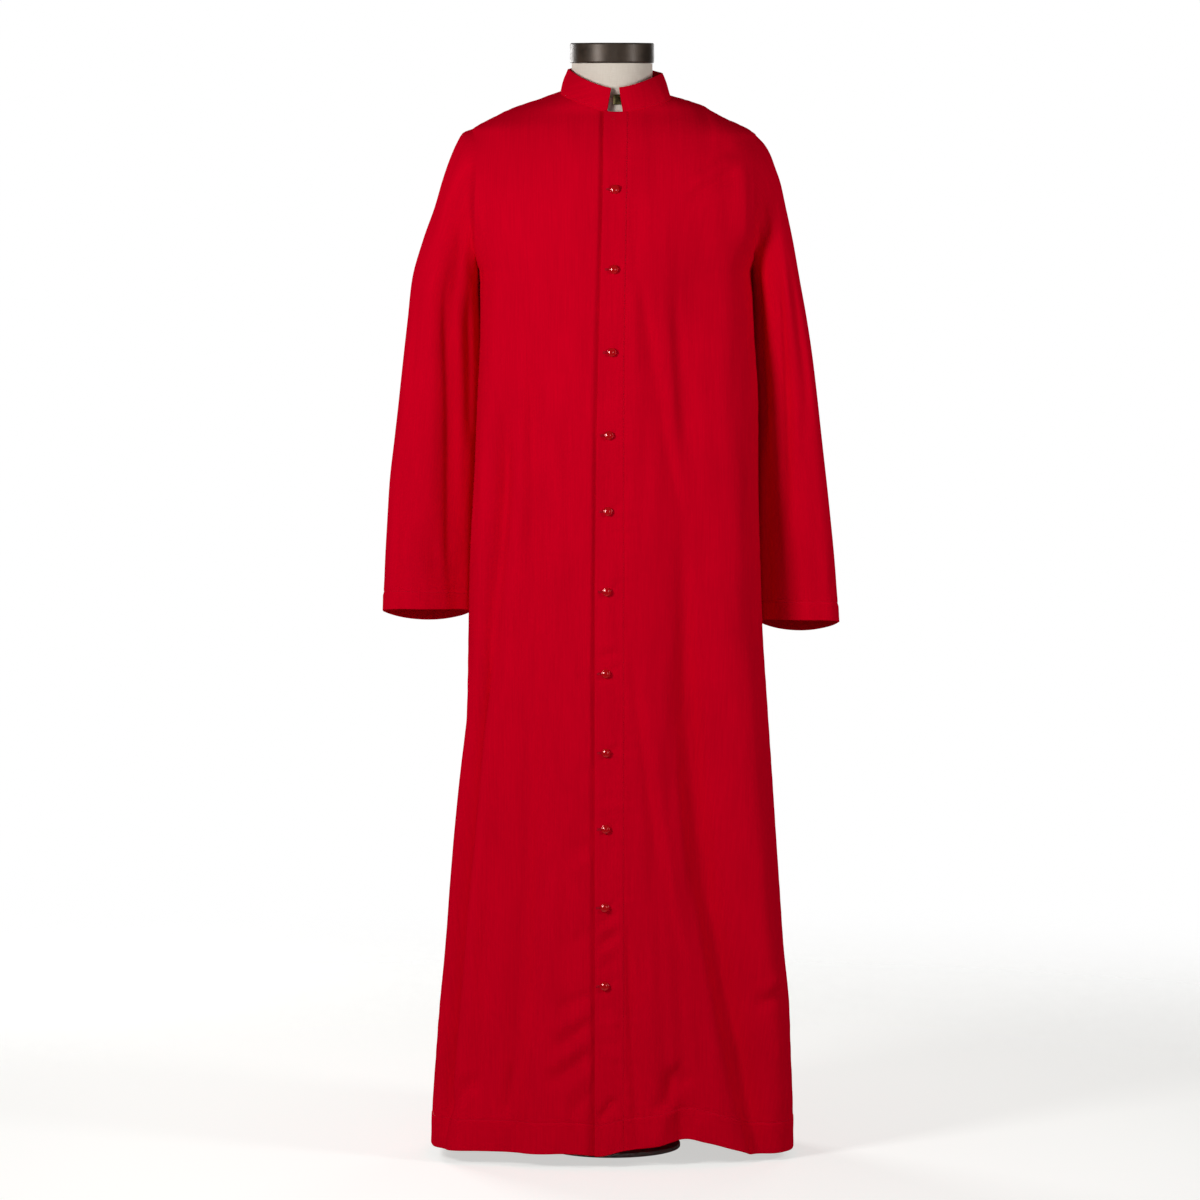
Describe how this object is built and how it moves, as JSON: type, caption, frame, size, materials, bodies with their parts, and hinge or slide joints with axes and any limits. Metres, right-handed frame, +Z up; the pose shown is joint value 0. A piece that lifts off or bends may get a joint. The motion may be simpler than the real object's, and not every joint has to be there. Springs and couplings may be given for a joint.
{
  "type": "cassock on a dress form",
  "caption": "Plain ankle-length cassock with band collar, buttoned front and straight sleeves, on a limbless dress form.",
  "frame": {"origin": "centre of the flat underside of the dress form's base, on the floor", "axes": "+Z up along the form's pole, -Y towards the viewer of the buttoned front, +X towards the wearer's left"},
  "size_m": [0.6295, 0.3719, 1.527],
  "materials": {
    "red_cloth": "matte",
    "red_button": "gloss",
    "dark_brass": "satin",
    "linen_cover": "matte",
    "bronze_brown": "satin",
    "white_paint": "satin",
    "brushed_steel": "satin"
  },
  "bodies": {
    "root": {"back": "red_cloth", "button_01": "red_button", "button_02": "red_button", "button_03": "red_button", "button_04": "red_button", "button_05": "red_button", "button_06": "red_button", "button_07": "red_button", "button_08": "red_button", "button_09": "red_button", "button_10": "red_button", "button_11": "red_button", "button_band": "red_cloth", "collar": "red_cloth", "collar_hook": "dark_brass", "form_base": "white_paint", "form_body": "linen_cover", "form_cap": "bronze_brown", "form_pole": "brushed_steel", "front_left": "red_cloth", "front_right": "red_cloth", "sleeve_left": "red_cloth", "sleeve_right": "red_cloth"}
  },
  "joints": []
}
